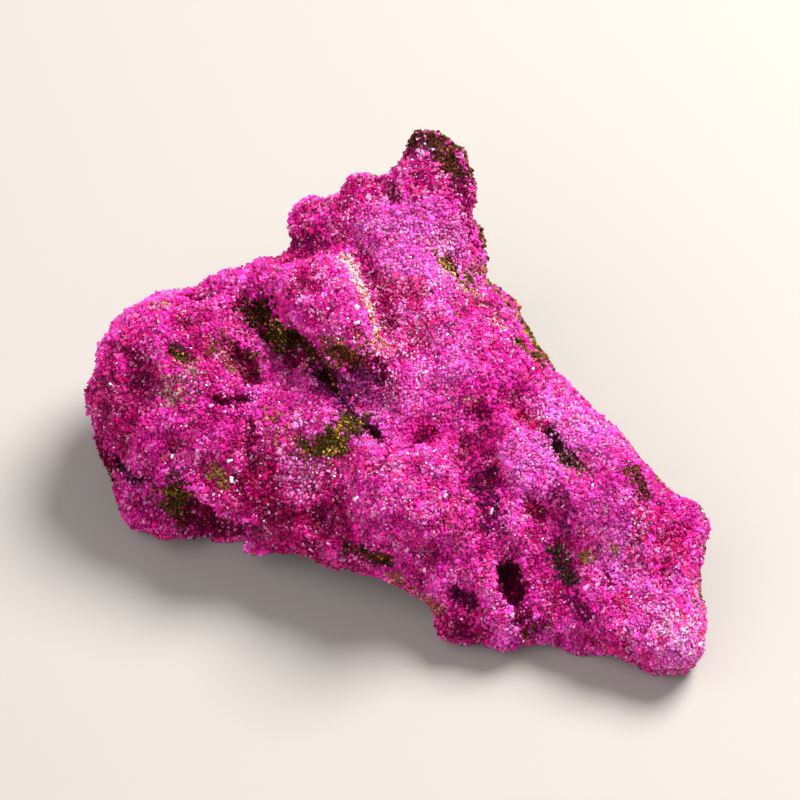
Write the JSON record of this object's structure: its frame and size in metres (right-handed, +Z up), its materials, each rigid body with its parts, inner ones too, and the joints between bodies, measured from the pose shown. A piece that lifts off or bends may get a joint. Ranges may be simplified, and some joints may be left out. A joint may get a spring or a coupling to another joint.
{
  "type": "corundum specimen",
  "caption": "Hand-sized rough corundum stone with a pointed peak, a round lobe and a long arm, crusted with small magenta crystals, lying on a flat broken base.",
  "frame": {"origin": "middle of the stone's bounding box on the floor plane, where its flat broken base rests", "axes": "+X along the longest side, from the round lobe to the arm's tip, +Y towards the peak, +Z up"},
  "size_m": [0.0836, 0.0688, 0.0376],
  "materials": {
    "corundum_crust": "sugary crust of small glinting magenta crystals over olive-brown host rock"
  },
  "bodies": {
    "root": {"corundum_stone": "corundum_crust"}
  },
  "joints": []
}
